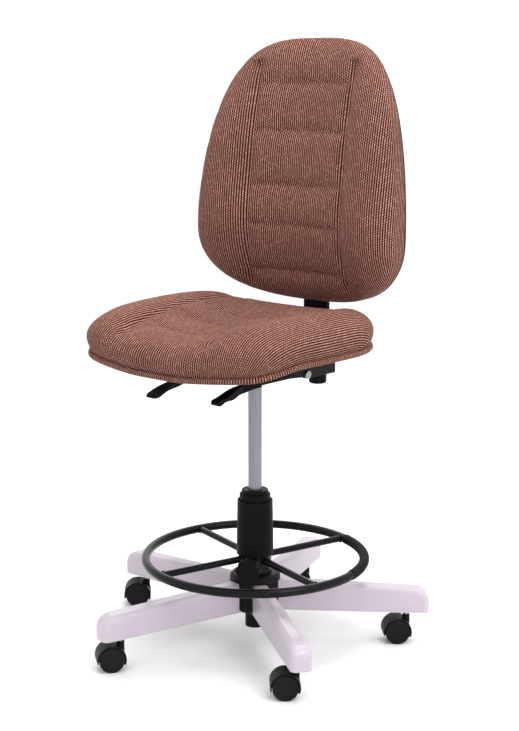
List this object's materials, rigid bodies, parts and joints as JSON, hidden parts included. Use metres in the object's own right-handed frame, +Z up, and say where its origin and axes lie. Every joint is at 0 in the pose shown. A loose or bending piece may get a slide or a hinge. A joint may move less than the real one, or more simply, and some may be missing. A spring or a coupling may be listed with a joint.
{
  "type": "swivel stool",
  "caption": "Drafting-height swivel stool with padded seat and high back, star base on twin-wheel casters, gas lift and foot ring.",
  "frame": {"origin": "on the floor, at the axis of the gas column", "axes": "+Z up, the sitter faces -Y, +X is the sitter's left"},
  "size_m": [0.6639, 0.6927, 1.2216],
  "materials": {
    "fabric": "ribbed brown and pale pink tweed upholstery cloth",
    "white_paint": "glossy pale lilac-white stove enamel",
    "gloss_black": "glossy black stove enamel",
    "black_paint": "semi-gloss black powder coat",
    "black_casting": "satin black paint on a casting",
    "black_plastic": "fine-textured black moulded plastic",
    "black_grip": "matte black sleeve",
    "caster_plastic": "satin black nylon",
    "wheel_plastic": "matte black nylon",
    "cylinder_steel": "satin grey steel tube",
    "bright_steel": "zinc plated",
    "plywood": "raw beech plywood",
    "nylon": "natural nylon"
  },
  "bodies": {
    "base": {"base_hub": "black_casting", "base_arm_1": "white_paint", "base_arm_2": "white_paint", "base_arm_3": "white_paint", "base_arm_4": "white_paint", "base_arm_5": "white_paint", "arm_bolts": "bright_steel", "caster_sockets": "bright_steel", "caster_stems": "bright_steel", "column_tube": "black_paint", "column_bush": "nylon", "thrust_bearing": "bright_steel", "cover_middle": "black_plastic", "cover_cap": "black_plastic"},
    "lift_rod": {"piston_rod": "bright_steel"},
    "seat_unit": {"gas_cylinder": "cylinder_steel", "mechanism_box": "black_paint", "pivot_bolt": "bright_steel", "mounting_screws": "bright_steel", "seat_board": "plywood", "seat_base_cover": "black_plastic", "seat_cushion": "fabric"},
    "release_pin": {"release_pin": "bright_steel"},
    "height_lever": {"height_lever": "black_plastic"},
    "back_lock_lever": {"back_lock_lever": "black_plastic"},
    "back_frame": {"back_bracket": "black_casting", "back_bar": "black_paint", "bar_sleeve": "black_plastic"},
    "tension_knob": {"tension_knob": "black_plastic"},
    "backrest": {"back_cushion": "fabric", "back_board": "plywood", "back_shell": "black_plastic", "back_slider": "black_plastic"},
    "ring_carrier": {"ring_liner": "nylon", "cover_outer": "black_plastic"},
    "foot_ring": {"ring_hub": "gloss_black", "ring_tube": "gloss_black", "ring_spokes": "gloss_black", "ring_grip": "black_grip"},
    "ring_knob": {"ring_knob": "black_plastic"},
    "caster_1": {"caster_hood_1": "caster_plastic", "caster_axle_1": "bright_steel"},
    "wheel_1a": {"caster_wheel_1a": "wheel_plastic"},
    "wheel_1b": {"caster_wheel_1b": "wheel_plastic"},
    "caster_2": {"caster_hood_2": "caster_plastic", "caster_axle_2": "bright_steel"},
    "wheel_2a": {"caster_wheel_2a": "wheel_plastic"},
    "wheel_2b": {"caster_wheel_2b": "wheel_plastic"},
    "caster_3": {"caster_hood_3": "caster_plastic", "caster_axle_3": "bright_steel"},
    "wheel_3a": {"caster_wheel_3a": "wheel_plastic"},
    "wheel_3b": {"caster_wheel_3b": "wheel_plastic"},
    "caster_4": {"caster_hood_4": "caster_plastic", "caster_axle_4": "bright_steel"},
    "wheel_4a": {"caster_wheel_4a": "wheel_plastic"},
    "wheel_4b": {"caster_wheel_4b": "wheel_plastic"},
    "caster_5": {"caster_hood_5": "caster_plastic", "caster_axle_5": "bright_steel"},
    "wheel_5a": {"caster_wheel_5a": "wheel_plastic"},
    "wheel_5b": {"caster_wheel_5b": "wheel_plastic"}
  },
  "joints": [
    {"name": "swivel", "type": "hinge", "parent": "base", "child": "lift_rod", "pos_m": [0, 0, 0.031], "axis": [0, 0, 1], "continuous": true},
    {"name": "seat_height", "type": "slide", "parent": "lift_rod", "child": "seat_unit", "axis": [0, 0, 1], "range_m": [-0.2, 0]},
    {"name": "height_lever_pull", "type": "hinge", "parent": "seat_unit", "child": "height_lever", "pos_m": [0, -0.026, 0.579], "axis": [-1, 0, 0], "range_deg": [0, 9], "stiffness_Nm_per_rad": 2, "springref_deg": -5.73},
    {"name": "release_pin_push", "type": "slide", "parent": "seat_unit", "child": "release_pin", "axis": [0, 0, 1], "range_m": [-0.0041, 0]},
    {"name": "back_lock_lever_pull", "type": "hinge", "parent": "seat_unit", "child": "back_lock_lever", "pos_m": [0, 0.03, 0.565], "axis": [-1, 0, 0], "range_deg": [0, 9]},
    {"name": "back_recline", "type": "hinge", "parent": "seat_unit", "child": "back_frame", "pos_m": [0, 0.095, 0.55], "axis": [-1, 0, 0], "range_deg": [-3, 15]},
    {"name": "tension_knob_turn", "type": "hinge", "parent": "back_frame", "child": "tension_knob", "pos_m": [0.014, 0.184, 0.52], "axis": [0, 0, 1], "continuous": true},
    {"name": "back_height", "type": "slide", "parent": "back_frame", "child": "backrest", "axis": [0, 0.0175, 0.9998], "range_m": [0, 0.06]},
    {"name": "ring_height", "type": "slide", "parent": "base", "child": "ring_carrier", "axis": [0, 0, 1], "range_m": [0, 0.09]},
    {"name": "ring_turn", "type": "hinge", "parent": "ring_carrier", "child": "foot_ring", "pos_m": [0, 0, 0.175], "axis": [0, 0, 1], "continuous": true},
    {"name": "ring_knob_turn", "type": "hinge", "parent": "foot_ring", "child": "ring_knob", "pos_m": [0.02909, -0.05248, 0.165], "axis": [0.4848, -0.8746, 0], "continuous": true},
    {"name": "caster_1_swivel", "type": "hinge", "parent": "base", "child": "caster_1", "pos_m": [0.24819, 0.18907, 0.05], "axis": [0, 0, 1], "continuous": true},
    {"name": "wheel_1a_roll", "type": "hinge", "parent": "caster_1", "child": "wheel_1a", "pos_m": [0.23405, 0.17493, 0.025], "axis": [0.7071, -0.7071, 0], "continuous": true},
    {"name": "wheel_1b_roll", "type": "hinge", "parent": "caster_1", "child": "wheel_1b", "pos_m": [0.23405, 0.17493, 0.025], "axis": [0.7071, -0.7071, 0], "continuous": true},
    {"name": "caster_2_swivel", "type": "hinge", "parent": "base", "child": "caster_2", "pos_m": [-0.10312, 0.29447, 0.05], "axis": [0, 0, 1], "continuous": true},
    {"name": "wheel_2a_roll", "type": "hinge", "parent": "caster_2", "child": "wheel_2a", "pos_m": [-0.11751, 0.28057, 0.025], "axis": [0.6947, -0.7193, 0], "continuous": true},
    {"name": "wheel_2b_roll", "type": "hinge", "parent": "caster_2", "child": "wheel_2b", "pos_m": [-0.11751, 0.28057, 0.025], "axis": [0.6947, -0.7193, 0], "continuous": true},
    {"name": "caster_3_swivel", "type": "hinge", "parent": "base", "child": "caster_3", "pos_m": [-0.31192, -0.00708, 0.05], "axis": [0, 0, 1], "continuous": true},
    {"name": "wheel_3a_roll", "type": "hinge", "parent": "caster_3", "child": "wheel_3a", "pos_m": [-0.32631, -0.02097, 0.025], "axis": [0.6947, -0.7193, 0], "continuous": true},
    {"name": "wheel_3b_roll", "type": "hinge", "parent": "caster_3", "child": "wheel_3b", "pos_m": [-0.32631, -0.02097, 0.025], "axis": [0.6947, -0.7193, 0], "continuous": true},
    {"name": "caster_4_swivel", "type": "hinge", "parent": "base", "child": "caster_4", "pos_m": [-0.08966, -0.29884, 0.05], "axis": [0, 0, 1], "continuous": true},
    {"name": "wheel_4a_roll", "type": "hinge", "parent": "caster_4", "child": "wheel_4a", "pos_m": [-0.10141, -0.31502, 0.025], "axis": [0.809, -0.5878, 0], "continuous": true},
    {"name": "wheel_4b_roll", "type": "hinge", "parent": "caster_4", "child": "wheel_4b", "pos_m": [-0.10141, -0.31502, 0.025], "axis": [0.809, -0.5878, 0], "continuous": true},
    {"name": "caster_5_swivel", "type": "hinge", "parent": "base", "child": "caster_5", "pos_m": [0.25651, -0.17761, 0.05], "axis": [0, 0, 1], "continuous": true},
    {"name": "wheel_5a_roll", "type": "hinge", "parent": "caster_5", "child": "wheel_5a", "pos_m": [0.24188, -0.19126, 0.025], "axis": [0.682, -0.7314, 0], "continuous": true},
    {"name": "wheel_5b_roll", "type": "hinge", "parent": "caster_5", "child": "wheel_5b", "pos_m": [0.24188, -0.19126, 0.025], "axis": [0.682, -0.7314, 0], "continuous": true}
  ],
  "couplings": [
    {"joint": "release_pin_push", "follows": "height_lever_pull", "m_per_rad": -0.026}
  ]
}
